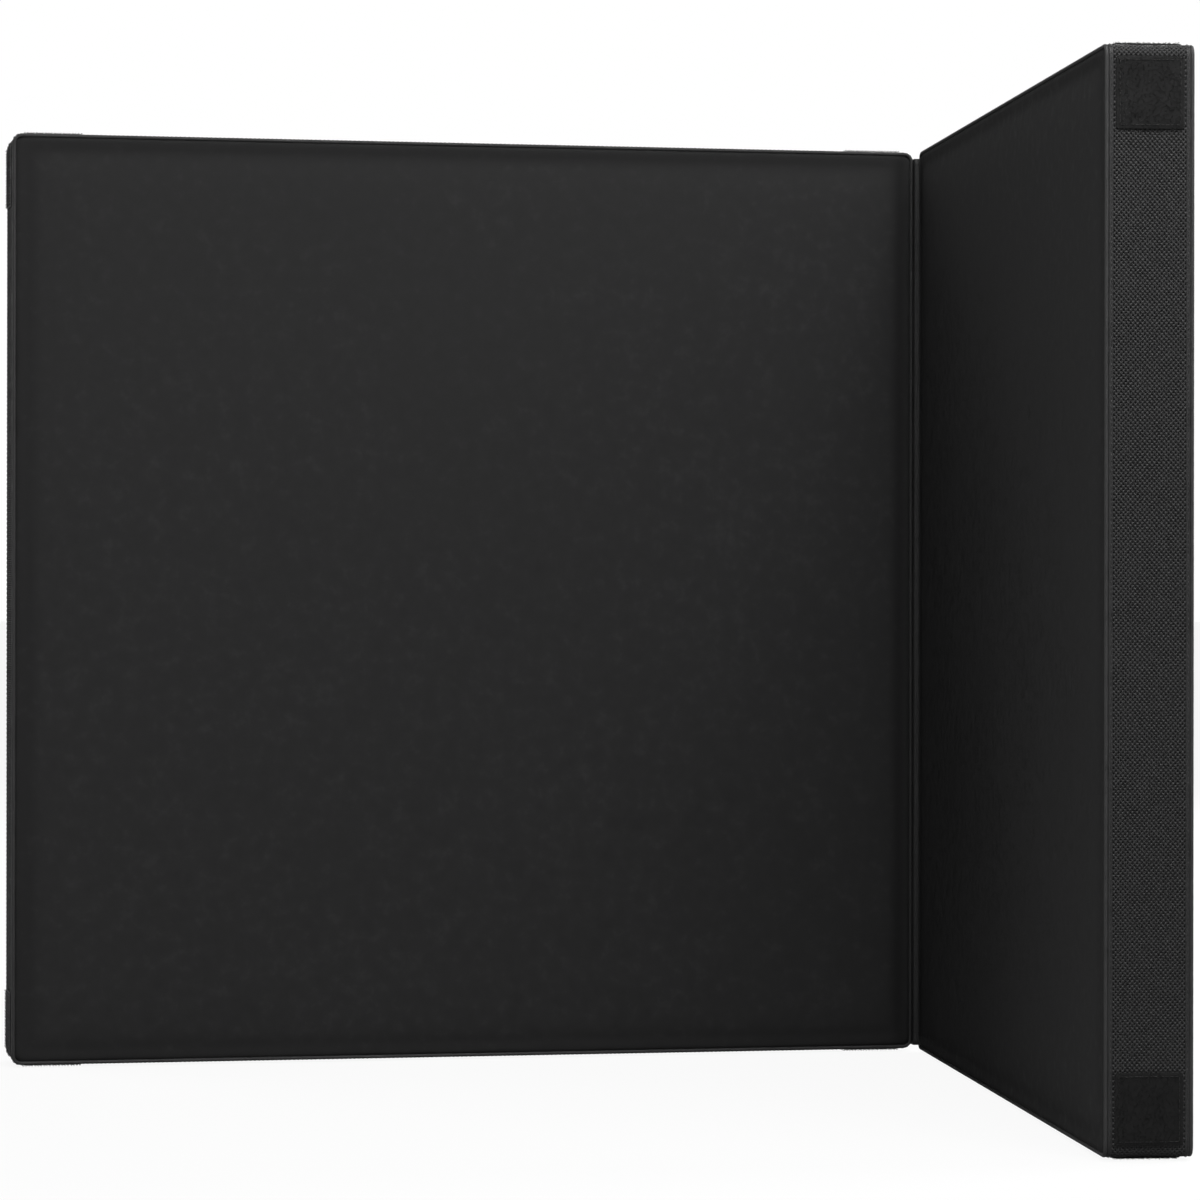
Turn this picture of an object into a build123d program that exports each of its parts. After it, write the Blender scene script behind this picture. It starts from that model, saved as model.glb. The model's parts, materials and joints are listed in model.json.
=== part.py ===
from build123d import *
from math import cos, radians, sin
import os

# Folding two-leaf padded board. Two equal square foam leaves are joined by a fabric strip
# along one upright edge and stand open like a book, on the patches of their bottom sides.
#
# Row frame: millimetres, +Z up, the floor at Z = 0, the origin in the middle of the whole
# board's box. The left leaf runs along -X from the hinge and its front face looks towards -Y.
# The right leaf is its mirror image in the upright plane that halves the opening.

# Leaf
leaf_width = 610.0  # from the hinge side to the free end
leaf_height = 610.0  # from the bottom side to the top side
leaf_thickness = 50.0  # from the front face to the back face
leaf_corner = 6.0  # radius of its four corners, seen from the front

# Covers and foam
cover_thickness = 1.0  # woven front and back covers
band_thickness = 1.0  # open mesh round the four narrow sides
front_foam_thickness = 24.0  # the back sheet of foam takes up what is left
seam_clearance = 0.25  # between the eased foam edge and the piping's inner corner

# Piping along the front and back outlines
piping_size = 2.4  # side of its section
piping_round = 1.5  # radius of the section's outer corner

# Hook-and-loop patches
patch_width = 38.0  # across the thickness of the leaf
patch_length = 40.0  # along the side
patch_thickness = 1.8
patch_corner = 1.5
patch_inset = 7.0  # from the end of the side to the patch

# Hinge strip
hinge_gap = 1.5  # from the hinge axis to a leaf's front face, and to its hinge side
strip_thickness = 0.8
strip_flange = 24.0  # how far the strip is sewn back along each hinge side
strip_shortfall = 6.0  # the strip stops this far short of the leaf's top and bottom

# Pose
opening_angle = 84.0  # between the two front faces


def right_leaf_point(along, depth):
    """Where a point of the right leaf is in plan, seen from the hinge axis."""
    heading = radians(180 + opening_angle)
    x = along * cos(heading) - depth * sin(heading)
    y = along * sin(heading) + depth * cos(heading)
    return x, y


# The board's box in plan, seen from the hinge axis. Its far corners are the left leaf's end
# patches and back face, and the right leaf's rounded back edge and end patches.
near = hinge_gap
far = hinge_gap + leaf_width
back = hinge_gap + leaf_thickness
patch_back = hinge_gap + (leaf_thickness + patch_width) / 2
back_edge_x, _ = right_leaf_point(near + piping_round, back - piping_round)
_, end_edge_y = right_leaf_point(far - piping_round, back - piping_round)
_, end_patch_y = right_leaf_point(far + patch_thickness, patch_back)
low_x = -(far + patch_thickness)
high_x = back_edge_x + piping_round
low_y = min(end_edge_y - piping_round, end_patch_y)
high_y = back

# Places in the row frame
hinge_x = -(low_x + high_x) / 2
hinge_y = -(low_y + high_y) / 2
near_x = hinge_x - near
far_x = hinge_x - far
middle_x = (near_x + far_x) / 2
front_y = hinge_y + hinge_gap
middle_y = front_y + leaf_thickness / 2
bottom_z = patch_thickness
middle_z = bottom_z + leaf_height / 2
top_z = bottom_z + leaf_height

# The foam's edges are eased so that they pass the piping's inner corner
foam_ease = 2 * piping_size - cover_thickness - band_thickness + 2 * seam_clearance

half_turn = radians(opening_angle / 2)
fold_plane = Plane(
    origin=(hinge_x, hinge_y, middle_z),
    x_dir=(0, 0, 1),
    z_dir=(-sin(half_turn), cos(half_turn), 0),
)


def leaf_plane(depth):
    """The plane this far behind the left leaf's front face, looking towards its back."""
    return Plane(
        origin=(middle_x, front_y + depth, middle_z), x_dir=(-1, 0, 0), z_dir=(0, 1, 0)
    )


def leaf_outline(inset, mode=Mode.ADD):
    """The leaf's outline seen from the front, this far inside its edge."""
    width = leaf_width - 2 * inset
    height = leaf_height - 2 * inset
    RectangleRounded(width, height, leaf_corner - inset, mode=mode)


def write(piece, name):
    piece.part.label = name
    export_step(piece.part, f"parts/{name}.step")


def write_pair(piece, name):
    """Write the left leaf's piece and its mirror image on the right leaf."""
    write(piece, f"left_{name}")
    with BuildPart() as twin:
        mirror(piece.part, about=fold_plane)
    write(twin, f"right_{name}")


def patch_on(plane, name):
    """A hook-and-loop patch sewn flat on a narrow side, standing out along the plane's normal."""
    with BuildPart() as patch:
        with BuildSketch(plane):
            RectangleRounded(patch_length, patch_width, patch_corner)
        extrude(amount=patch_thickness)
    write_pair(patch, name)


os.makedirs("parts", exist_ok=True)

# Front sheet of foam, laminated to the back one
with BuildPart() as front_foam:
    with BuildSketch(leaf_plane(cover_thickness)):
        leaf_outline(band_thickness)
    extrude(amount=front_foam_thickness)
    chamfer(front_foam.faces().sort_by(Axis.Y)[0].edges(), length=foam_ease)
write_pair(front_foam, "front_foam")

# Back sheet of foam
with BuildPart() as back_foam:
    with BuildSketch(leaf_plane(cover_thickness + front_foam_thickness)):
        leaf_outline(band_thickness)
    extrude(amount=leaf_thickness - 2 * cover_thickness - front_foam_thickness)
    chamfer(back_foam.faces().sort_by(Axis.Y)[-1].edges(), length=foam_ease)
write_pair(back_foam, "back_foam")

# Covers, one sheet on each face, up to the piping
with BuildPart() as front_cover:
    with BuildSketch(leaf_plane(0)):
        leaf_outline(piping_size)
    extrude(amount=cover_thickness)
write_pair(front_cover, "front_cover")

with BuildPart() as back_cover:
    with BuildSketch(leaf_plane(leaf_thickness - cover_thickness)):
        leaf_outline(piping_size)
    extrude(amount=cover_thickness)
write_pair(back_cover, "back_cover")

# Piping, a ring along each outline whose section is rounded at its outer corner
with BuildPart() as front_piping:
    with BuildSketch(leaf_plane(0)):
        leaf_outline(0)
        leaf_outline(piping_size, mode=Mode.SUBTRACT)
    extrude(amount=piping_size)
    front_rim = front_piping.faces().sort_by(Axis.Y)[0].outer_wire()
    fillet(front_rim.edges(), radius=piping_round)
write_pair(front_piping, "front_piping")

with BuildPart() as back_piping:
    with BuildSketch(leaf_plane(leaf_thickness - piping_size)):
        leaf_outline(0)
        leaf_outline(piping_size, mode=Mode.SUBTRACT)
    extrude(amount=piping_size)
    back_rim = back_piping.faces().sort_by(Axis.Y)[-1].outer_wire()
    fillet(back_rim.edges(), radius=piping_round)
write_pair(back_piping, "back_piping")

# Mesh band, one strip round the four narrow sides from piping to piping
with BuildPart() as mesh_band:
    with BuildSketch(leaf_plane(piping_size)):
        leaf_outline(0)
        leaf_outline(band_thickness, mode=Mode.SUBTRACT)
    extrude(amount=leaf_thickness - 2 * piping_size)
write_pair(mesh_band, "mesh_band")

# Hook-and-loop patches near the corners of the three free sides
patch_drop = leaf_height / 2 - patch_inset - patch_length / 2
patch_run = leaf_width / 2 - patch_inset - patch_length / 2
for place, height in (("upper", patch_drop), ("lower", -patch_drop)):
    end_side = Plane(
        origin=(far_x, middle_y, middle_z + height), x_dir=(0, 0, 1), z_dir=(-1, 0, 0)
    )
    patch_on(end_side, f"end_patch_{place}")
for place, run in (("outer", -patch_run), ("inner", patch_run)):
    top_side = Plane(origin=(middle_x + run, middle_y, top_z), z_dir=(0, 0, 1))
    patch_on(top_side, f"top_patch_{place}")
    bottom_side = Plane(origin=(middle_x + run, middle_y, bottom_z), z_dir=(0, 0, -1))
    patch_on(bottom_side, f"bottom_patch_{place}")

# Hinge strip. In plan it lies along the left hinge side, bends round the hinge axis by the
# opening angle, and lies along the right hinge side.
bend_radius = hinge_gap - strip_thickness / 2
with BuildPart() as hinge_strip:
    with BuildSketch(Plane.XY.offset(bottom_z + strip_shortfall)):
        with BuildLine():
            bend = CenterArc((hinge_x, hinge_y), bend_radius, 180, opening_angle)
            Line(bend @ 0, bend @ 0 - (bend % 0) * strip_flange)
            Line(bend @ 1, bend @ 1 + (bend % 1) * strip_flange)
        trace(line_width=strip_thickness)
    extrude(amount=leaf_height - 2 * strip_shortfall)
write(hinge_strip, "hinge_strip")
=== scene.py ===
import json
import math

import bpy
import numpy as np
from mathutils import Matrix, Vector


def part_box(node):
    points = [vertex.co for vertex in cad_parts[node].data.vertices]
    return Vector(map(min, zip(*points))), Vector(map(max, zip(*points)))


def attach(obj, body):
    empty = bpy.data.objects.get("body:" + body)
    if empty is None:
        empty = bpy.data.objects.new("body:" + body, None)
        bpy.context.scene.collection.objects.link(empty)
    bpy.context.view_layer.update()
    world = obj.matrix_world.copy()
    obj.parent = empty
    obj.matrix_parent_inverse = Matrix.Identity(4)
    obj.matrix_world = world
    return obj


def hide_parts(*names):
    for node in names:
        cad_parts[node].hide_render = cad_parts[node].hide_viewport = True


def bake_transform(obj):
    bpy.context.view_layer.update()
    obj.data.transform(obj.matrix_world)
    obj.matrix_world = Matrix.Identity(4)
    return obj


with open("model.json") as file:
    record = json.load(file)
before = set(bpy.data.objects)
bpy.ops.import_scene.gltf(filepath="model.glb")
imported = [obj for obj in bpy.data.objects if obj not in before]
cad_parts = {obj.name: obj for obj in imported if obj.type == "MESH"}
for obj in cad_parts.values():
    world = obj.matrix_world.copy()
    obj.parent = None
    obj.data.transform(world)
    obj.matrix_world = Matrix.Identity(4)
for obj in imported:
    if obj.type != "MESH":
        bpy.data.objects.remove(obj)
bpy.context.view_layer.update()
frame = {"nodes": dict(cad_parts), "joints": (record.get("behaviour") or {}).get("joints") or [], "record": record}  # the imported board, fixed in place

mm = 0.001
leaves = ("left", "right")
rng = np.random.default_rng(24)

print("reading places from the frame")

hinge = np.array(frame["joints"][0]["pos_m"], float)  # a point on the hinge axis
mountAxis = {m["name"]: np.array(m["axis"], float) for m in frame["record"]["mounts"]}
leftOut = mountAxis["left_back_face"]
rightOut = mountAxis["right_back_face"]
foldNormal = (leftOut - rightOut) / np.linalg.norm(leftOut - rightOut)


def leafBox(node):
    # A left node's box in leaf space: along from the hinge axis, deep behind it, and up from the floor.
    low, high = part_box(node)
    lowCorner = (hinge[0] - high.x, low.y - hinge[1], low.z)
    highCorner = (hinge[0] - low.x, high.y - hinge[1], high.z)
    return np.array([lowCorner, highCorner])


bandBox = leafBox("left_mesh_band")
frontPipingBox = leafBox("left_front_piping")
backPipingBox = leafBox("left_back_piping")
pipingSize = frontPipingBox[1, 1] - frontPipingBox[0, 1]

leaf = {
    "centre": (bandBox[0, [0, 2]] + bandBox[1, [0, 2]]) / 2,  # along and up
    "half": (bandBox[1, [0, 2]] - bandBox[0, [0, 2]]) / 2,
    "front": frontPipingBox[0, 1],
    "back": backPipingBox[1, 1],
    "corner": 6.0 * mm,
}
leafHeight = 2 * leaf["half"][1]
middleUp = leaf["centre"][1]


def onLeaf(points, side):
    # Leaf space to the row frame. The left leaf runs along -X from the hinge with its back towards +Y,
    # and the right leaf is its reflection in the upright plane that halves the opening.
    points = np.asarray(points, float)
    spot = np.stack([hinge[0] - points[..., 0], hinge[1] + points[..., 1], points[..., 2]], -1)
    if side == "right":
        spot = spot - 2 * ((spot - hinge) @ foldNormal)[..., None] * foldNormal
    return spot


def meshObject(name, points, faces, uv=None, smooth=True):
    # faces is a list of index arrays, each (count, corners); uv is one pair for each point
    mesh = bpy.data.meshes.new(name)
    points = np.asarray(points, np.float32).reshape(-1, 3)
    corners = np.concatenate([f.reshape(-1) for f in faces]).astype(np.int32)
    sizes = np.concatenate([np.full(len(f), f.shape[1]) for f in faces]).astype(np.int32)
    starts = np.concatenate([[0], np.cumsum(sizes)[:-1]]).astype(np.int32)
    mesh.vertices.add(len(points))
    mesh.vertices.foreach_set("co", points.reshape(-1))
    mesh.loops.add(len(corners))
    mesh.loops.foreach_set("vertex_index", corners)
    mesh.polygons.add(len(sizes))
    mesh.polygons.foreach_set("loop_start", starts)
    mesh.update(calc_edges=True)
    mesh.validate()
    if uv is not None:
        layer = mesh.uv_layers.new(name="cloth")
        layer.data.foreach_set("uv", np.asarray(uv, np.float32)[corners].reshape(-1))
    mesh.polygons.foreach_set("use_smooth", np.full(len(sizes), smooth))
    made = bpy.data.objects.new(name, mesh)
    bpy.context.scene.collection.objects.link(made)
    return made


def leafPiece(name, side, points, faces, material, replaced=(), uv=None, smooth=True):
    # The left leaf's space is left-handed in the row frame, so its faces are turned round.
    turned = [f[:, ::-1] for f in faces] if side == "left" else faces
    made = meshObject(name, onLeaf(points, side), turned, uv, smooth)
    made.data.materials.append(material)
    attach(made, f"{side}_leaf")
    if replaced:
        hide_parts(*replaced)
    return made


def paintShade(made, shares):
    # Where painted shade darkens the cloth, from 0 to 1 at each point.
    margin = made.data.attributes.new("margin", "FLOAT", "POINT")
    margin.data.foreach_set("value", shares.astype(np.float32))


def gridFaces(rows, columns, closedRows=False, closedColumns=False):
    # Quads of a grid of points stored row by row, facing along (next row) x (next column). A closed
    # direction joins its last line to its first.
    r = np.arange(rows if closedRows else rows - 1)
    c = np.arange(columns if closedColumns else columns - 1)
    r, c = np.meshgrid(r, c, indexing="ij")
    nextR, nextC = (r + 1) % rows, (c + 1) % columns
    quads = [r * columns + c, nextR * columns + c, nextR * columns + nextC, r * columns + nextC]
    return np.stack(quads, -1).reshape(-1, 4)


def gridLine(half, steps, middleStep):
    # Places across a face, close together near both edges and even in the middle.
    edge = np.cumsum(np.concatenate([[0], steps])) * mm
    inner = half - edge[-1]
    count = max(2, round(2 * inner / middleStep))
    middle = np.linspace(-inner, inner, count + 1)[1:-1]
    return np.concatenate([edge - half, middle, (half - edge)[::-1]])


def roundedGrid(half, radius, steps, middleStep):
    # Where each grid point of a rounded rectangle lies in plan, and its distance from the edge. Near a
    # corner the square's rings become arcs: the offset from the inner square is scaled by its larger part
    # over its length. The distance is a soft smaller of the distances from the two nearest sides.
    lines = [gridLine(h, steps, middleStep) for h in half]
    spot = np.stack(np.meshgrid(*lines, indexing="ij"), -1)
    core = np.clip(spot, radius - half, half - radius)
    off = spot - core
    length = np.linalg.norm(off, axis=-1)
    scale = np.where(length > 0, np.abs(off).max(-1) / np.maximum(length, 1e-9), 1)
    soft = min(radius, 2.5 * mm)
    inset = -soft * np.log(np.exp((np.abs(spot) - half) / soft).sum(-1))
    return core + off * scale[..., None], np.maximum(inset, 0)


def closedSlab(plan, top, bottom, sideRows=1):
    # Two grids over one plan, facing up and down, joined by rows of points round the side between their
    # borders.
    n, m = top.shape
    upper = np.concatenate([plan, top[..., None]], -1).reshape(-1, 3)
    lower = np.concatenate([plan, bottom[..., None]], -1).reshape(-1, 3)
    edges = (
        np.arange(n) * m,
        (n - 1) * m + np.arange(1, m),
        np.arange(n - 2, -1, -1) * m + m - 1,
        np.arange(m - 2, 0, -1),
    )
    ring = np.concatenate(edges)
    share = np.linspace(0, 1, sideRows + 1)[1:-1, None, None]
    between = (upper[ring] * (1 - share) + lower[ring] * share).reshape(-1, 3)
    first = 2 * n * m + np.arange(sideRows - 1)[:, None] * len(ring) + np.arange(len(ring))
    loops = np.concatenate([ring[None], first, ring[None] + n * m])
    a, b = loops[:-1], loops[1:]
    side = np.stack([a, b, np.roll(b, -1, 1), np.roll(a, -1, 1)], -1).reshape(-1, 4)
    face = gridFaces(n, m)
    return np.concatenate([upper, lower, between]), [face, face[:, ::-1] + n * m, side]


def easedIn(values, start, end):
    # 0 before start, 1 after end, and a smooth step between.
    t = np.clip((values - start) / (end - start), 0, 1)
    return t * t * (3 - 2 * t)


def outline(s, inset=0.0):
    # The point, outward direction and travel direction at distance s round the leaf: four straight sides
    # joined by quarter circles. It starts on the bottom side at the hinge end and runs towards the free end.
    radius = leaf["corner"]
    straight = 2 * (leaf["half"] - radius)
    arc = math.pi / 2 * radius
    lengths = np.array([straight[0], arc, straight[1], arc] * 2)
    ends = np.cumsum(lengths)
    s = np.mod(s, ends[-1])
    part = np.searchsorted(ends, s, side="right") % 8
    run = s - (ends - lengths)[part]
    side = part // 2
    onArc = part % 2 == 1
    angle = (side - 1) * math.pi / 2 + np.where(onArc, run / radius, 0)
    outward = np.stack([np.cos(angle), np.sin(angle)], -1)
    travel = np.stack([-np.sin(angle), np.cos(angle)], -1)
    signs = np.array([[1, -1], [1, 1], [-1, 1], [-1, -1]])[side]
    pivot = leaf["centre"] + signs * straight / 2
    left = np.where(onArc, 0, lengths[part] - run)
    inset = np.broadcast_to(inset, s.shape)
    spot = pivot + (radius - inset)[..., None] * outward - left[..., None] * travel
    return spot, outward, travel


def outlineLength():
    return 4 * (leaf["half"] - leaf["corner"]).sum() + 2 * math.pi * leaf["corner"]


def aroundLeaf(s, inset, deep):
    # Points in leaf space at distance s round the outline, this far inside it and this deep.
    flat = outline(s, inset)[0]
    return np.stack([flat[..., 0], np.broadcast_to(deep, s.shape), flat[..., 1]], -1)


print("camera")

shot = {
    "towardsFreeEnd": 1.3566,  # in leaf heights from the hinge axis
    "inFront": 4.8741,
    "turn": -11.561,  # degrees, to the right
    "tilt": -0.079,  # degrees, about the line of sight
    "lens": 135.66,
}
lens = bpy.data.cameras.new("camera")
lens.lens = shot["lens"]
lens.clip_end = 100
camera = bpy.data.objects.new("camera", lens)
camera.location = (
    hinge[0] - shot["towardsFreeEnd"] * leafHeight,
    hinge[1] - shot["inFront"] * leafHeight,
    middleUp,
)
camera.rotation_euler = (math.pi / 2, math.radians(shot["tilt"]), math.radians(shot["turn"]))
bpy.context.scene.collection.objects.link(camera)
bpy.context.scene.camera = camera

print("materials")


def socket(group, name, kind, value=None, output=False):
    made = group.interface.new_socket(
        name=name, in_out="OUTPUT" if output else "INPUT", socket_type=f"NodeSocket{kind}"
    )
    if value is not None:
        made.default_value = value
    return made


def effect(name, inputs, outputs):
    # A shader node group with named sockets, and its input and output nodes.
    group = bpy.data.node_groups.new(name, "ShaderNodeTree")
    for label, kind, value in inputs:
        socket(group, label, kind, value)
    for label, kind in outputs:
        socket(group, label, kind, output=True)
    return group, group.nodes.new("NodeGroupInput"), group.nodes.new("NodeGroupOutput")


def mathNode(tree, kind, *values, clamp=False):
    # A Math node of up to three values, each a number or a socket.
    node = tree.nodes.new("ShaderNodeMath")
    node.operation = kind
    node.use_clamp = clamp
    for k, value in enumerate(values):
        if isinstance(value, (int, float)):
            node.inputs[k].default_value = value
        else:
            tree.links.new(value, node.inputs[k])
    return node.outputs[0]


def makeWeave():
    # Plain weave: the product of a sine across the warp and a sine across the weft, so that threads pass
    # over and under each other, with a slow drift so that the rows aren't ruled.
    group, inside, out = effect(
        "weave",
        [("Cloth", "Vector", None), ("Thread", "Float", 0.0006), ("Drift", "Float", 0.3)],
        [("Height", "Float"), ("Shade", "Float")],
    )
    noise = group.nodes.new("ShaderNodeTexNoise")
    noise.inputs["Scale"].default_value = 90
    noise.inputs["Detail"].default_value = 2
    group.links.new(inside.outputs["Cloth"], noise.inputs["Vector"])
    apart = group.nodes.new("ShaderNodeSeparateXYZ")
    group.links.new(inside.outputs["Cloth"], apart.inputs[0])
    wander = mathNode(group, "MULTIPLY", noise.outputs["Fac"], inside.outputs["Drift"])
    waves = []
    for axis in range(2):
        threads = mathNode(group, "DIVIDE", apart.outputs[axis], inside.outputs["Thread"])
        turned = mathNode(group, "MULTIPLY", mathNode(group, "ADD", threads, wander), math.pi)
        waves.append(mathNode(group, "SINE", turned))
    over = mathNode(group, "MULTIPLY", waves[0], waves[1])
    height = mathNode(group, "MULTIPLY_ADD", over, 0.5, 0.5)
    group.links.new(height, out.inputs["Height"])
    shade = mathNode(group, "POWER", height, 0.5)
    group.links.new(shade, out.inputs["Shade"])
    return group


def makeMottle():
    # Slow cloudiness of dyed cloth plus a finer unevenness, around 1.
    group, inside, out = effect(
        "mottle",
        [
            ("Place", "Vector", None), ("Cloud", "Float", 9.0), ("Fine", "Float", 130.0),
            ("Cloud Amount", "Float", 0.1), ("Fine Amount", "Float", 0.1),
        ],
        [("Tone", "Float")],
    )
    total = 1.0
    for label in ("Cloud", "Fine"):
        noise = group.nodes.new("ShaderNodeTexNoise")
        noise.inputs["Detail"].default_value = 3
        group.links.new(inside.outputs["Place"], noise.inputs["Vector"])
        group.links.new(inside.outputs[label], noise.inputs["Scale"])
        tone = mathNode(group, "SUBTRACT", noise.outputs["Fac"], 0.5)
        tone = mathNode(group, "MULTIPLY", tone, inside.outputs[f"{label} Amount"])
        total = mathNode(group, "ADD", tone, total)
    group.links.new(total, out.inputs["Tone"])
    return group


def makeLint():
    # Sparse pale specks of lint and dust, in loose patches.
    group, inside, out = effect(
        "lint",
        [("Place", "Vector", None), ("Grain", "Float", 700.0), ("Limit", "Float", 0.08)],
        [("Mask", "Float")],
    )
    cells = group.nodes.new("ShaderNodeTexVoronoi")
    group.links.new(inside.outputs["Place"], cells.inputs["Vector"])
    group.links.new(inside.outputs["Grain"], cells.inputs["Scale"])
    near = mathNode(group, "LESS_THAN", cells.outputs["Distance"], inside.outputs["Limit"])
    patches = group.nodes.new("ShaderNodeTexNoise")
    patches.inputs["Scale"].default_value = 14
    group.links.new(inside.outputs["Place"], patches.inputs["Vector"])
    few = mathNode(group, "GREATER_THAN", patches.outputs["Fac"], 0.52)
    group.links.new(mathNode(group, "MULTIPLY", near, few), out.inputs["Mask"])
    return group


groups = {"weave": makeWeave(), "mottle": makeMottle(), "lint": makeLint()}


def place(tree, name, **values):
    node = tree.nodes.new("ShaderNodeGroup")
    node.node_tree = groups[name]
    for label, value in values.items():
        if isinstance(value, (int, float)):
            node.inputs[label].default_value = value
        else:
            tree.links.new(value, node.inputs[label])
    return node


def scaledColour(tree, colour, *factors):
    # The colour times each factor.
    value = None
    for factor in factors:
        node = tree.nodes.new("ShaderNodeVectorMath")
        node.operation = "SCALE"
        if value is None:
            node.inputs[0].default_value = colour
        else:
            tree.links.new(value, node.inputs[0])
        tree.links.new(factor, node.inputs["Scale"])
        value = node.outputs[0]
    return value


def cloth(name, look):
    # Woven or knitted cloth: weave and mottle move its colour, roughness and bump, and lint lies on it.
    material = bpy.data.materials.new(name)
    material.use_nodes = True
    tree = material.node_tree
    shader = tree.nodes["Principled BSDF"]
    where = tree.nodes.new("ShaderNodeTexCoord")
    weave = place(tree, "weave", Cloth=where.outputs["UV"], Thread=look["thread"], Drift=look["drift"])
    mottle = place(tree, "mottle", Place=where.outputs["Object"])
    mottle.inputs["Cloud Amount"].default_value = look["cloud"]
    mottle.inputs["Fine Amount"].default_value = look["mottle"]
    lint = place(tree, "lint", Place=where.outputs["Object"], Grain=look["lintGrain"])
    shade = mathNode(tree, "MULTIPLY_ADD", weave.outputs["Shade"], look["depth"], 1 - 0.7 * look["depth"])
    tones = [mottle.outputs["Tone"], shade]
    # Painted shade: the point attribute darkens the colour by this amount times its share.
    if "margin" in look:
        margin = tree.nodes.new("ShaderNodeAttribute")
        margin.attribute_name = "margin"
        tones.append(mathNode(tree, "MULTIPLY_ADD", margin.outputs["Fac"], -look["margin"], 1.0))
    tone = scaledColour(tree, look["colour"], *tones)
    mix = tree.nodes.new("ShaderNodeMix")
    mix.data_type = "RGBA"
    tree.links.new(mathNode(tree, "MULTIPLY", lint.outputs["Mask"], look["lint"]), mix.inputs["Factor"])
    tree.links.new(tone, mix.inputs["A"])
    mix.inputs["B"].default_value = (0.3, 0.3, 0.3, 1)
    tree.links.new(mix.outputs["Result"], shader.inputs["Base Color"])
    rough = mathNode(tree, "MULTIPLY", mottle.outputs["Tone"], look["roughness"], clamp=True)
    tree.links.new(rough, shader.inputs["Roughness"])
    bump = tree.nodes.new("ShaderNodeBump")
    bump.inputs["Strength"].default_value = look["bump"]
    bump.inputs["Distance"].default_value = look["relief"]
    tree.links.new(weave.outputs["Height"], bump.inputs["Height"])
    tree.links.new(bump.outputs["Normal"], shader.inputs["Normal"])
    shader.inputs["Specular IOR Level"].default_value = look["gloss"]
    return material


coverLook = {
    "colour": (0.021, 0.021, 0.0212),
    "thread": 0.45 * mm,
    "drift": 0.5,  # how far the rows wander, in threads
    "cloud": 0.25,
    "mottle": 1.1,
    "depth": 0.35,  # how much darker the gaps between threads are
    "roughness": 0.92,
    "gloss": 0.15,
    "bump": 0.5,
    "relief": 0.03 * mm,
    "lint": 0.035,
    "lintGrain": 420.0,
}
looks = {  # what differs from the cover's look
    "coverCloth": {"margin": 0.22},  # painted shade: darker along the seams and in the fold beside the hinge
    "liningCloth": {"colour": (0.019, 0.019, 0.019), "thread": 0.6 * mm, "lint": 0.0},
    "meshYarn": {
        "colour": (0.0217, 0.0217, 0.022), "thread": 0.35 * mm, "roughness": 0.75, "gloss": 0.25,
        "mottle": 1.4,
    },
    "meshHem": {"colour": (0.0162, 0.0162, 0.0165), "thread": 0.6 * mm, "roughness": 0.7, "gloss": 0.35},
    "pipingCloth": {
        "colour": (0.0235, 0.0235, 0.0238), "thread": 0.5 * mm, "roughness": 0.7, "gloss": 0.4,
        # painted shade on the piping beside the hinge
        "margin": 0.5,
    },
    "hookTape": {
        "colour": (0.008, 0.008, 0.008), "thread": 0.7 * mm, "roughness": 0.65, "gloss": 0.3, "lint": 0.2,
    },
    "loopTape": {
        "colour": (0.0082, 0.0082, 0.0082), "thread": 0.7 * mm, "roughness": 0.9, "gloss": 0.2, "lint": 0.3,
    },
    "hookTapePile": {
        "colour": (0.0095, 0.0095, 0.0095), "thread": 1.5 * mm, "roughness": 0.6, "gloss": 0.3, "lint": 0.0,
    },
    "loopTapePile": {
        "colour": (0.0098, 0.0098, 0.0098), "thread": 1.5 * mm, "roughness": 0.85, "gloss": 0.25,
        "lint": 0.3,
    },
    "hingeWeb": {
        "colour": (0.011, 0.011, 0.0112), "thread": 0.8 * mm, "roughness": 0.65, "gloss": 0.4,
        "relief": 0.25 * mm,
    },
    "sewingThread": {
        "colour": (0.014, 0.014, 0.014), "thread": 0.15 * mm, "roughness": 0.45, "gloss": 0.5,
        "relief": 0.05 * mm,
    },
}
finishes = {name: cloth(name, {**coverLook, **look}) for name, look in looks.items()}


foamLook = {
    "colour": (0.03, 0.03, 0.032),
    "cells": 650,  # to the metre
    "cloud": 0.3,
    "lightest": 1.15,
    "roughness": 0.75,
    "bump": 0.6,
    "relief": 0.3 * mm,
}


def foamMaterial():
    # Closed-cell foam: small rounded cells, each a little lighter or darker.
    material = bpy.data.materials.new("blackFoam")
    material.use_nodes = True
    tree = material.node_tree
    shader = tree.nodes["Principled BSDF"]
    where = tree.nodes.new("ShaderNodeTexCoord")
    cells = tree.nodes.new("ShaderNodeTexVoronoi")
    cells.inputs["Scale"].default_value = foamLook["cells"]
    tree.links.new(where.outputs["Object"], cells.inputs["Vector"])
    mottle = place(tree, "mottle", Place=where.outputs["Object"])
    mottle.inputs["Cloud Amount"].default_value = foamLook["cloud"]
    shade = mathNode(tree, "SUBTRACT", foamLook["lightest"], cells.outputs["Distance"])
    colour = scaledColour(tree, foamLook["colour"], mottle.outputs["Tone"], shade)
    tree.links.new(colour, shader.inputs["Base Color"])
    rough = mathNode(tree, "MULTIPLY", mottle.outputs["Tone"], foamLook["roughness"], clamp=True)
    tree.links.new(rough, shader.inputs["Roughness"])
    bump = tree.nodes.new("ShaderNodeBump")
    bump.inputs["Strength"].default_value = foamLook["bump"]
    bump.inputs["Distance"].default_value = foamLook["relief"]
    bump.invert = True
    tree.links.new(cells.outputs["Distance"], bump.inputs["Height"])
    tree.links.new(bump.outputs["Normal"], shader.inputs["Normal"])
    return material


foam = foamMaterial()
for node, made in frame["nodes"].items():
    if node.endswith("_foam"):
        made.data.materials.clear()
        made.data.materials.append(foam)

print("padded leaves")

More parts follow.
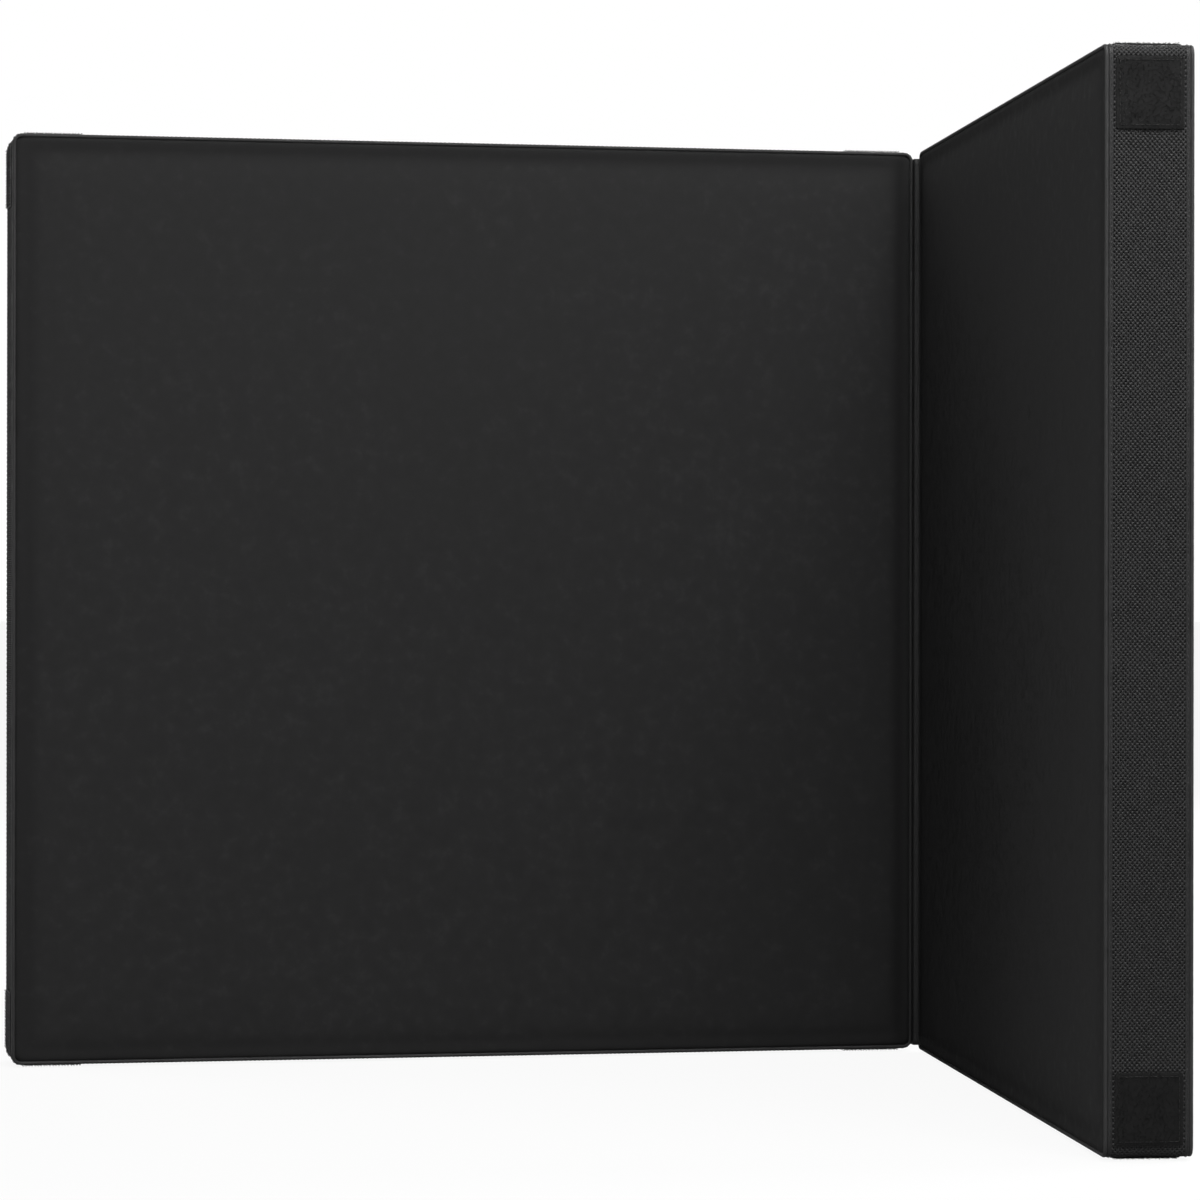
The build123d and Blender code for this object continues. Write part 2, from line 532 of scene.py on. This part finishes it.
pad = {
    "lining": 0.9 * mm,  # the side under the mesh stands this far inside the outline
    "steps": (0.7, 0.7, 0.8, 1.2, 1.5, 1.8, 2.0, 2.2, 2.5, 3.0, 4.0, 6.0),  # grid steps from the edge, mm
    "middleStep": 10.5 * mm,
    "sideRows": 6,
    # The cover's section from the seam inwards: distance from the outline, and how deep it lies, mm
    "sectionAt": (0.9, 1.6, 2.3, 3.1, 4.3, 6.0, 8.0, 10.0, 12.5, 16.0, 20.0, 26.0),
    "sectionDeep": (2.3, 1.6, 1.1, 0.45, 0.1, 0.15, 0.4, 0.62, 0.5, -0.05, -0.45, -0.6),
    "hingeFold": 0.24 * mm,  # the covers are pulled in further along the hinge side
    "hingeFoldAt": 9.0 * mm,
    "hingeFoldWidth": 3.2 * mm,
    "pressure": 4.0,
    "tension": 25,
    "bending": 2,
    "quality": 4,
    "frames": 20,
    "cap": 0.7 * mm,  # how far the pressed-out cover may stand off its section
    "pinnedWithin": 11.0 * mm,
    "crownedFrom": 40.0 * mm,  # inside this the cover stands out fully
    "marginWithin": (9.0 * mm, 20.0 * mm),  # where the painted shade along the seams fades
    "fill": 0.95,
}


def padShape():
    # The slab in plan along and up, its front face on top. The covers' section gives both faces their seam
    # groove, margin and shoulder from the distance to the outline.
    half = leaf["half"] - pad["lining"]
    plan, inset = roundedGrid(half, leaf["corner"] - pad["lining"], pad["steps"], pad["middleStep"])
    inset = inset + pad["lining"]
    dip = np.interp(inset / mm, pad["sectionAt"], pad["sectionDeep"]) * mm
    fromHinge = plan[..., 0] + leaf["half"][0]
    fold = np.exp(-(((fromHinge - pad["hingeFoldAt"]) / pad["hingeFoldWidth"]) ** 2))
    dip = dip + pad["hingeFold"] * fold * easedIn(inset, 3 * mm, 9 * mm)
    points, faces = closedSlab(plan, -leaf["front"] - dip, -leaf["back"] + dip, pad["sideRows"])
    middle = leaf["centre"]
    points = np.stack([points[:, 0] + middle[0], -points[:, 2], points[:, 1] + middle[1]], -1)
    return points, faces, inset


def pressedOut(points, faces, inset):
    # The covers under the foam's pressure: cloth pinned along its seams, blown out for a few frames.
    made = meshObject("clothTrial", points, faces)
    pins = np.ones(len(points))
    free = inset.size
    pins[:free] = pins[free : 2 * free] = (inset.reshape(-1) < pad["pinnedWithin"]).astype(float)
    group = made.vertex_groups.new(name="seam")
    group.add(np.flatnonzero(pins).tolist(), 1.0, "REPLACE")
    sim = made.modifiers.new("Cloth", "CLOTH")
    sim.settings.vertex_group_mass = "seam"
    sim.settings.use_pressure = True
    sim.settings.uniform_pressure_force = pad["pressure"]
    sim.settings.effector_weights.gravity = 0
    sim.settings.tension_stiffness = pad["tension"]
    sim.settings.bending_stiffness = pad["bending"]
    sim.settings.quality = pad["quality"]
    sim.point_cache.frame_start = 1
    sim.point_cache.frame_end = pad["frames"]
    for step in range(1, pad["frames"] + 1):
        bpy.context.scene.frame_set(step)
    shaped = made.evaluated_get(bpy.context.evaluated_depsgraph_get())
    co = np.zeros(len(points) * 3, np.float32)
    shaped.data.vertices.foreach_get("co", co)
    bpy.data.objects.remove(made)
    bpy.context.scene.frame_set(1)
    return co.reshape(-1, 3)


padPoints, padFaces, padInset = padShape()
count = padInset.size
bothInset = np.tile(padInset.reshape(-1), 2)
shaped = pressedOut(padPoints, padFaces, padInset)
swell = np.abs(shaped[: 2 * count, 1] - padPoints[: 2 * count, 1])
print("  cover pressed out by", round(float(swell.max()) / mm, 1), "mm before its cap")
swell = pad["cap"] * np.tanh(swell / pad["cap"])
swell *= easedIn(bothInset, pad["pinnedWithin"], pad["crownedFrom"])

for side in leaves:
    points = padPoints.copy()
    points[:count, 1] -= swell[:count]
    points[count : 2 * count, 1] += swell[count:]
    uv = np.stack([points[:, 0], points[:, 2]], -1)
    uv[2 * count :, 0] += points[2 * count :, 1]
    made = leafPiece(
        f"{side}PaddedCover", side, points, padFaces, finishes["coverCloth"],
        [f"{side}_front_cover", f"{side}_back_cover"], uv,
    )
    made.data.materials.append(finishes["liningCloth"])
    slots = np.zeros(len(made.data.polygons), np.int32)
    slots[-len(padFaces[2]) :] = 1
    made.data.polygons.foreach_set("material_index", slots)
    # Painted shade: darker near the seams, fading inwards.
    near = 1 - easedIn(bothInset, *pad["marginWithin"])
    fromFold = points[: 2 * count, 0] - leaf["front"] - pad["hingeFoldAt"]
    near += 1.1 * np.exp(-((fromFold / (4 * mm)) ** 2))  # and painted shade along the fold beside the hinge
    paintShade(made, np.concatenate([near, np.ones(len(points) - len(near))]))
    finer = made.modifiers.new("finer", "SUBSURF")
    finer.levels = finer.render_levels = 1

print("piping")

piping = {
    "radius": pipingSize / 2 - 0.02 * mm,
    "step": 3.0 * mm,
    "corners": 12,
    "pucker": 0.06,  # how much of the radius is lost between stitches
    "stitch": 6.4 * mm,
    "pinched": (2.5 * mm, 7.0 * mm),  # from the hinge side: painted shade where the piping lies in the hinge groove
}


def pipingTube(deep):
    # A round section carried along the outline, whose radius swells and shrinks a little between stitches.
    count = round(outlineLength() / piping["step"])
    s = np.linspace(0, outlineLength(), count, endpoint=False)
    turn = np.linspace(0, 2 * math.pi, piping["corners"], endpoint=False)
    turn, s = np.meshgrid(turn, s, indexing="ij")
    phase = 2 * math.pi * s / piping["stitch"]
    wave = np.sin(phase) + 0.6 * np.sin(phase / 3.7)
    radius = piping["radius"] * (1 + piping["pucker"] * (wave / 1.6 - 1) / 2)
    points = aroundLeaf(s, pipingSize / 2 - radius * np.cos(turn), deep + radius * np.sin(turn))
    uv = np.stack([s, turn * piping["radius"]], -1).reshape(-1, 2)
    return points.reshape(-1, 3), [gridFaces(*s.shape, True, True)], uv


for side in leaves:
    for face, deep in (("Front", leaf["front"] + pipingSize / 2), ("Back", leaf["back"] - pipingSize / 2)):
        points, faces, uv = pipingTube(deep)
        made = leafPiece(
            f"{side}{face}Piping", side, points, faces, finishes["pipingCloth"],
            [f"{side}_{face.lower()}_piping"], uv,
        )
        fromHinge = points[:, 0] - leaf["centre"][0] + leaf["half"][0]
        # Painted shade on the piping near the hinge side.
        paintShade(made, 1 - easedIn(fromHinge, *piping["pinched"]))

print("mesh bands")

net = {
    "rowPitch": 2.88 * mm,  # two rows of holes, along the side
    "columnPitch": 2.6 * mm,  # two columns of holes, across it
    "knot": 0.56,  # knot size as a share of the pitch between rows
    "inset": 0.15 * mm,
    "pullIn": 0.35 * mm,  # the net is drawn in between its hems
    "relief": 0.07 * mm,
    "yarn": 0.5 * mm,
    "hem": 2.4 * mm,
    "tuck": 0.4 * mm,  # how far its edges go down under the hems
    "tuckWidth": 1.8 * mm,
    "underHem": 0.6,  # the share of a hem's width that the net leaves free
    "wander": (0.07 * mm, 0.05 * mm),  # how far the rows stray, coarse and fine
    "lap": 0.03 * mm,
}
sideNames = ("Bottom", "End", "Top", "Hinge")


def netSide(part):
    # A net of diamond knots tied corner to corner along one side and its corner: knots stand where row and
    # column numbers add up to an even number, holes where they add up to an odd one. Every open edge of the
    # front is then closed by a wall down to the point behind each of its knots.
    low = leaf["front"] + pipingSize + net["underHem"] * net["hem"]
    high = leaf["back"] - pipingSize - net["underHem"] * net["hem"]
    rows = 2 * round(outlineLength() / 4 / net["rowPitch"]) + 1
    columns = 2 * round((high - low) / net["columnPitch"]) + 1
    rowStep = outlineLength() / 4 / (rows - 1)
    columnStep = (high - low) / (columns - 1)
    r, c = np.meshgrid(np.arange(rows), np.arange(columns), indexing="ij")
    isKnot = (r + c) % 2 == 0
    number = np.cumsum(isKnot.reshape(-1)).reshape(r.shape) - 1
    r, c = r[isKnot], c[isKnot]
    s = part * outlineLength() / 4 + r * rowStep
    t = low + c * columnStep
    wander = net["wander"][0] * np.sin(s * 61 + 3 * np.sin(t * 240))
    wander += net["wander"][1] * np.sin(s * 173 + t * 510)
    # each knot's corners: onward, deeper, backward, shallower
    ds = np.array([1, 0, -1, 0]) * net["knot"] * rowStep
    dt = np.array([0, 1, 0, -1]) * net["knot"] * columnStep
    lift = np.array([1.0, -0.4, 1.0, -0.4]) * net["relief"]
    cornerS = s[:, None] + ds + wander[:, None]
    cornerT = np.clip(t[:, None] + dt, low, high)
    end = net["lap"] * (r == rows - 1)  # the last row lies under the next side's first
    pull = net["pullIn"] * np.sin(math.pi * (cornerT - low) / (high - low))
    fromEdge = np.minimum(cornerT - low, high - cornerT)
    pull += net["tuck"] * (1 - easedIn(fromEdge, 0, net["tuckWidth"]))
    front = aroundLeaf(cornerS, net["inset"] + pull - lift + end[:, None], cornerT)
    behind = aroundLeaf(s + wander, net["inset"] + net["yarn"] + net["pullIn"] + end, t)
    at = np.arange(len(r)) * 4
    faces = [np.stack([at + 3, at + 2, at + 1, at], -1)]
    for step in (1, -1):
        tied = (r + 1 < rows) & (c + step >= 0) & (c + step < columns)
        there = number[r[tied] + 1, c[tied] + step] * 4
        here = at[tied]
        near, far = (1, 3) if step == 1 else (3, 1)
        tie = np.stack([here, here + near, there + 2, there + far], -1)
        faces.append(tie if step == 1 else tie[:, ::-1])
    faces = np.concatenate(faces)
    a, b = faces.reshape(-1), np.roll(faces, -1, 1).reshape(-1)
    total = 4 * len(r)
    isOpen = ~np.isin(a * total + b, b * total + a)
    a, b = a[isOpen], b[isOpen]
    backA, backB = total + a // 4, total + b // 4
    crossing = backA != backB
    walls = np.stack([b, a, backA, backB], -1)[crossing]
    ends = np.stack([b, a, backA], -1)[~crossing]
    points = np.concatenate([front.reshape(-1, 3), behind])
    uv = np.stack([cornerS, cornerT], -1).reshape(-1, 2)
    uv = np.concatenate([uv, np.stack([s, t], -1)])
    return points, [faces, walls, ends], uv


hem = {
    "step": 4.0 * mm,
    # Its section: the share of its width, and how far inside the outline, mm
    "across": (0, 0.06, 0.25, 0.5, 0.75, 0.94, 1.0, 1.0, 0.0),
    "inset": (0.5, 0.2, 0.04, 0.0, 0.04, 0.2, 0.5, 0.75, 0.75),
    "overlap": 0.2 * mm,  # over the piping
}


def hemStrip(start, end):
    # A shallow arched tape along the outline over the net's edge, closed underneath.
    count = round(outlineLength() / hem["step"])
    s = np.linspace(0, outlineLength(), count, endpoint=False)
    inset = np.array(hem["inset"]) * mm
    across, s = np.meshgrid(hem["across"], s, indexing="ij")
    points = aroundLeaf(s, np.broadcast_to(inset[:, None], s.shape), start + (end - start) * across)
    uv = np.stack([s, across * abs(end - start)], -1).reshape(-1, 2)
    return points.reshape(-1, 3), [gridFaces(*s.shape, True, True)], uv


innerFront = leaf["front"] + pipingSize
innerBack = leaf["back"] - pipingSize
hems = {
    "Front": (innerFront - hem["overlap"], innerFront + net["hem"]),
    "Back": (innerBack - net["hem"], innerBack + hem["overlap"]),
}
for side in leaves:
    for part, name in enumerate(sideNames):
        points, faces, uv = netSide(part)
        leafPiece(
            f"{side}{name}Mesh", side, points, faces, finishes["meshYarn"],
            [f"{side}_mesh_band"], uv,
        )
    for face, (start, end) in hems.items():
        points, faces, uv = hemStrip(start, end)
        leafPiece(f"{side}{face}Hem", side, points, faces, finishes["meshHem"], (), uv)

print("patches")

patch = {
    "corner": 1.5 * mm,
    "steps": (0.2, 0.3, 0.5, 1.0),
    "middleStep": 3.2 * mm,
    "base": 0.75 * mm,  # thickness of the woven ground
    "edge": 0.5 * mm,  # thickness at its selvedge
    "slack": 0.05 * mm,  # cut this much smaller all round
    "selvedge": 1.2 * mm,
    "sunk": 0.35 * mm,  # how far its underside lies in the band
    "seam": 2.2 * mm,  # the stitching stands this far inside the edge
    "hookMargin": 1.4 * mm,
    "loopMargin": 1.1 * mm,
    "hookRows": 20,
    "loops": 900,
}
thread = {"pitch": 2.9 * mm, "sink": 0.1 * mm}


def copies(shape, faces, origins, axes):
    # The small shape put at every origin: its x, y and z run along that copy's three axes.
    points = origins[:, None] + np.einsum("pk,nkj->npj", shape, axes)
    step = np.arange(len(origins)) * len(shape)
    many = [(f[None] + step[:, None, None]).reshape(-1, f.shape[1]) for f in faces]
    return points.reshape(-1, 3), many


def bentTube(path, radii, sides=3):
    # A closed tube along a path in the xz plane: each ring's axes are y and the path's normal.
    path = np.asarray(path, float) * mm
    radii = np.asarray(radii) * mm
    forward = np.gradient(path, axis=0)
    forward /= np.linalg.norm(forward, axis=1, keepdims=True)
    normal = np.stack([-forward[:, 1], forward[:, 0]], -1)
    turn = np.arange(sides) * 2 * math.pi / sides
    out = radii[:, None] * np.cos(turn)
    x = path[:, None, 0] + out * normal[:, None, 0]
    z = path[:, None, 1] + out * normal[:, None, 1]
    y = radii[:, None] * np.sin(turn)
    points = np.stack([x, y, z], -1).reshape(-1, 3)
    last = (len(path) - 1) * sides
    caps = np.array([np.arange(sides), last + np.arange(sides)[::-1]])
    return points, [gridFaces(len(path), sides, False, True)[:, ::-1], caps]


hookShape = bentTube(
    [(-0.1, 0.55), (-0.08, 1.0), (0.0, 1.42), (0.26, 1.62), (0.5, 1.42), (0.52, 1.18)],
    [0.16, 0.14, 0.13, 0.13, 0.11, 0.05],
)
loopShape = bentTube(
    [(-0.5, 0.5), (-0.62, 1.0), (-0.36, 1.5), (0.0, 1.66), (0.36, 1.5), (0.62, 1.0), (0.5, 0.5)],
    [0.07, 0.075, 0.08, 0.08, 0.08, 0.075, 0.07],
)
loopShape[0][:, 0] *= 0.9
stitchShape = bentTube(
    [(-1.15, -0.12), (-0.85, 0.1), (0.0, 0.17), (0.85, 0.1), (1.15, -0.12)],
    [0.06, 0.17, 0.19, 0.17, 0.06],
    4,
)


def patchSeat(node):
    # The patch's own frame on the side that it is sewn to: its middle on the band, and the directions
    # deeper, onward and outward.
    box = leafBox(node)
    part = [name.lower() in node for name in sideNames[:3]].index(True)
    angle = (part - 1) * math.pi / 2
    outward = np.array([math.cos(angle), 0, math.sin(angle)])
    onward = np.array([-math.sin(angle), 0, math.cos(angle)])
    axes = np.array([[0, 1, 0], onward, outward])
    size = np.abs((box[1] - box[0]) @ axes.T)
    return box.mean(0) - outward * size[2] / 2, axes, size


def patchGround(size):
    # A thin woven square whose selvedge is lower than its middle.
    half = size[:2] / 2 - patch["slack"]
    plan, inset = roundedGrid(half, patch["corner"], patch["steps"], patch["middleStep"])
    rise = patch["edge"] + (patch["base"] - patch["edge"]) * easedIn(inset, 0, patch["selvedge"])
    return closedSlab(plan, rise, np.full_like(rise, -patch["sunk"]), 2)


def hookPile(size):
    # Rows of hooks, all leaning along the tape.
    room = size[:2] / 2 - patch["hookMargin"]
    rows = patch["hookRows"]
    x, y = np.meshgrid(np.linspace(-1, 1, rows), np.linspace(-1, 1, rows), indexing="ij")
    spots = np.stack([x * room[0], y * room[1], 0 * x], -1).reshape(-1, 3)
    spots[:, :2] += rng.normal(0, 0.12, (len(spots), 2)) * mm
    lean = math.pi / 2 + rng.normal(0, 0.2, len(spots))
    return spots, spin(lean) * rng.uniform(0.94, 1.0, len(spots))[:, None, None]


def loopPile(size):
    # Brushed loops in every direction, of slightly different heights.
    room = size[:2] / 2 - patch["loopMargin"]
    spots = rng.uniform(-1, 1, (patch["loops"], 3)) * [*room, 0]
    tall = rng.uniform(0.72, 1.0, len(spots))
    wide = rng.uniform(0.55, 1.15, len(spots))
    axes = spin(rng.uniform(0, math.pi, len(spots)))
    return spots, axes * np.stack([wide, wide, tall], -1)[:, :, None]


def spin(angle):
    # Axes turned about the upright one.
    c, s, z, o = np.cos(angle), np.sin(angle), np.zeros_like(angle), np.ones_like(angle)
    return np.stack([c, s, z, -s, c, z, z, z, o], -1).reshape(-1, 3, 3)


def stitchSpots(corners, height):
    # Stitches at even steps round a closed line of corners, pointing along it.
    corners = np.asarray(corners, float)
    spots, axes = [], []
    for a, b in zip(corners, np.roll(corners, -1, 0)):
        length = np.linalg.norm(b - a)
        count = round(length / thread["pitch"])
        share = (np.arange(count) + 0.5) / count
        spots.append(np.append(a, height) + share[:, None] * np.append(b - a, 0))
        heading = math.atan2(*(b - a)[::-1])
        axes.append(spin(np.full(count, heading)))
    return np.concatenate(spots), np.concatenate(axes)


pileShapes = {
    "left": (hookPile, hookShape, "hookTape", "hook_tape"),
    "right": (loopPile, loopShape, "loopTape", "loop_tape"),
}
for side in leaves:
    pile, shape, finish, slotName = pileShapes[side]
    for node in sorted(n for n in frame["nodes"] if n.startswith("left_") and "_patch_" in n):
        origin, axes, size = patchSeat(node)
        word = "".join(w.capitalize() for w in node.split("_")[1:])
        points, faces = patchGround(size)
        leafPiece(
            f"{side}{word}", side, origin + points @ axes, faces, finishes[finish],
            [node.replace("left", side, 1)], points[:, :2],
        )
        spots, turns = pile(size)
        points, faces = copies(*shape, spots, turns)
        leafPiece(
            f"{side}{word}Pile", side, origin + points @ axes, faces, finishes[finish + "Pile"],
            (), points[:, :2] + points[:, 2:],
        )
        room = size[:2] / 2 - patch["seam"]
        corners = room * np.array([[-1, -1], [1, -1], [1, 1], [-1, 1]])
        spots, turns = stitchSpots(corners, patch["base"] + thread["sink"])
        points, faces = copies(*stitchShape, spots, turns)
        leafPiece(
            f"{side}{word}Stitches", side, origin + points @ axes, faces, finishes["sewingThread"],
            (), points[:, :2],
        )

print("seam stitches")


def outlineStitches(deep, inset):
    # Stitches round the whole leaf, each lying along the outline and facing outwards.
    count = round(outlineLength() / thread["pitch"])
    s = np.arange(count) * outlineLength() / count
    _, outward, travel = outline(s)
    spots = aroundLeaf(s, inset, deep)
    axes = np.zeros((count, 3, 3))
    axes[:, 0, ::2] = travel
    axes[:, 1, 1] = -1
    axes[:, 2, ::2] = outward
    return copies(*stitchShape, spots, axes)


for side in leaves:
    for face, (start, end) in hems.items():
        points, faces = outlineStitches(0.45 * start + 0.55 * end, thread["sink"] * 0.5)
        leafPiece(
            f"{side}{face}HemStitches", side, points, faces, finishes["sewingThread"],
            (), points[:, [0, 2]],
        )

print("hinge strip")

stripLow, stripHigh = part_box("hinge_strip")
strip = {
    "radius": 1.1 * mm,  # of its middle, about the hinge axis
    "thickness": 0.7 * mm,
    "flange": 24.0 * mm,  # what lies along each hinge side
    "pitch": 1.5 * mm,  # of the rows along it
    "opening": math.pi - math.acos(float(leftOut @ rightOut)),  # how far it turns round the axis
    "seams": (3.6 * mm, 21.4 * mm),  # rows of stitches, from the fold
    "below": 3.5 * mm,  # how far the sewn strip reaches past its CAD solid
    "above": 1.5 * mm,
    "seamInset": 4.0 * mm,
    "rows": 160,
    "arcRows": 15,
}


def stripPath(offset):
    # The strip's section in plan, seen from the hinge axis: back along the left hinge side, round the axis
    # and back along the right one. offset moves it away from the axis.
    radius = strip["radius"] + offset
    start = math.pi
    turn = np.linspace(0, strip["opening"], strip["arcRows"])
    arc = radius * np.stack([np.cos(start + turn), np.sin(start + turn)], -1)
    run = np.concatenate([np.arange(strip["flange"], 0, -strip["pitch"]), [0.6 * mm, 0.25 * mm]])
    left = arc[0] + run[:, None] * np.array([0, 1.0])
    heading = start + strip["opening"]
    right = arc[-1] + run[::-1, None] * np.array([-math.sin(heading), math.cos(heading)])
    return np.concatenate([left, arc, right])


def hingeRibbon():
    # The path at both sides of its thickness, drawn up from the bottom edge to the top one.
    up = np.linspace(stripLow.z - strip["below"], stripHigh.z + strip["above"], strip["rows"])
    outer, inner = stripPath(strip["thickness"] / 2), stripPath(-strip["thickness"] / 2)
    section = np.concatenate([outer, inner[::-1]])
    x = np.broadcast_to(section[:, None, 0] + hinge[0], (len(section), len(up)))
    y = np.broadcast_to(section[:, None, 1] + hinge[1], (len(section), len(up)))
    z = np.broadcast_to(up, x.shape)
    points = np.stack([x, y, z], -1).reshape(-1, 3)
    run = np.concatenate([[0], np.cumsum(np.linalg.norm(np.diff(section, axis=0), axis=1))])
    uv = np.stack([np.broadcast_to(run[:, None], x.shape), z], -1).reshape(-1, 2)
    half = len(outer)
    k = np.arange(half - 1)
    mirror = 2 * half - 1 - k
    caps = np.stack([k, k + 1, mirror - 1, mirror], -1) * len(up)
    sides = gridFaces(len(section), len(up), True, False)
    return points, [sides, caps[:, ::-1], caps + len(up) - 1], uv


points, faces, uv = hingeRibbon()
ribbon = meshObject("hingeStrip", points, faces, uv)
ribbon.data.materials.append(finishes["hingeWeb"])
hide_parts("hinge_strip")
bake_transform(ribbon)


def hingeSeam(side):
    # Two rows of stitches that hold the strip to the leaf's hinge side.
    low, high = stripLow.z + strip["seamInset"], stripHigh.z - strip["seamInset"]
    up = np.linspace(low, high, round((high - low) / thread["pitch"]))
    along = np.full(len(up), strip["radius"] - strip["thickness"] / 2 - thread["sink"])
    spots = [np.stack([along, np.full(len(up), deep), up], -1) for deep in strip["seams"]]
    lying = np.array([[0, 0, 1.0], [0, -1.0, 0], [-1.0, 0, 0]])  # upright, facing the hinge
    points, faces = copies(*stitchShape, np.concatenate(spots), np.tile(lying, (2 * len(up), 1, 1)))
    return leafPiece(
        f"{side}HingeStitches", side, points, faces, finishes["sewingThread"],
        (), points[:, [1, 2]],
    )


seams = [hingeSeam(side) for side in leaves]

print("floor and lights")


paper = {
    "reach": (30.0, 60.0),  # metres to the sides and front, and to the back
    "colour": (0.35, 0.35, 0.35, 1),
    "roughness": 0.9,
    "glow": 1.08,
    "plainness": 0.85,  # the share that takes no shadow
}


def stageFloor():
    # A pale floor that reads as plain paper: what lies on it keeps only a faint shadow.
    near, far = paper["reach"]
    points = np.array([[-near, -near, 0], [near, -near, 0], [near, far, 0], [-near, far, 0]])
    floor = meshObject("floor", points, [np.array([[0, 1, 2, 3]])])
    material = bpy.data.materials.new("paleFloor")
    material.use_nodes = True
    tree = material.node_tree
    shader = tree.nodes["Principled BSDF"]
    shader.inputs["Base Color"].default_value = paper["colour"]
    shader.inputs["Roughness"].default_value = paper["roughness"]
    glow = tree.nodes.new("ShaderNodeEmission")
    glow.inputs["Strength"].default_value = paper["glow"]
    mix = tree.nodes.new("ShaderNodeMixShader")
    path = tree.nodes.new("ShaderNodeLightPath")
    share = mathNode(tree, "MULTIPLY", path.outputs["Is Camera Ray"], paper["plainness"])
    tree.links.new(share, mix.inputs["Fac"])
    tree.links.new(shader.outputs[0], mix.inputs[1])
    tree.links.new(glow.outputs[0], mix.inputs[2])
    tree.links.new(mix.outputs[0], tree.nodes["Material Output"].inputs["Surface"])
    floor.data.materials.append(material)


def softbox(name, azimuth, elevation, distance, size, power):
    # A square soft light on a sphere round the board's middle; azimuth runs from the front to the right.
    light = bpy.data.lights.new(name, "AREA")
    light.shape = "SQUARE"
    light.size = size
    light.energy = power
    made = bpy.data.objects.new(name, light)
    across, up = math.radians(azimuth), math.radians(elevation)
    flat = math.cos(up)
    heading = Vector((math.sin(across) * flat, -math.cos(across) * flat, math.sin(up)))
    made.location = Vector((0, 0, middleUp)) + heading * distance
    made.rotation_euler = heading.to_track_quat("Z", "Y").to_euler()
    bpy.context.scene.collection.objects.link(made)


softboxes = {  # azimuth, elevation, distance, size, power
    "frontBox": (-15, 15, 4.0, 2.0, 21),
    "nearTopBox": (8, 50, 2.0, 1.0, 30),
    "overBox": (-15, 62, 2.5, 1.2, 21),
    "endTopBox": (32.7, 37.7, 1.05, 0.4, 2.05),
    "backBox": (-130, 15, 4.0, 2.0, 38),
    "backHighBox": (-125, 40, 4.0, 2.0, 20),
    "rearBox": (150, 28, 4.0, 2.0, 120),
    "rightRearBox": (98, 25, 4.0, 2.0, 120),
}
worldGlow = 0.05
for name, values in softboxes.items():
    softbox(name, *values)


def paleWorld():
    # White to the eye, and a weaker grey as light.
    world = bpy.data.worlds.new("studio")
    world.use_nodes = True
    tree = world.node_tree
    back = tree.nodes["Background"]
    back.inputs["Color"].default_value = (1, 1, 1, 1)
    path = tree.nodes.new("ShaderNodeLightPath")
    strength = mathNode(tree, "MULTIPLY_ADD", path.outputs["Is Camera Ray"], 1 - worldGlow, worldGlow)
    tree.links.new(strength, back.inputs["Strength"])
    bpy.context.scene.world = world


stageFloor()
paleWorld()
bpy.context.scene.view_settings.view_transform = "Standard"
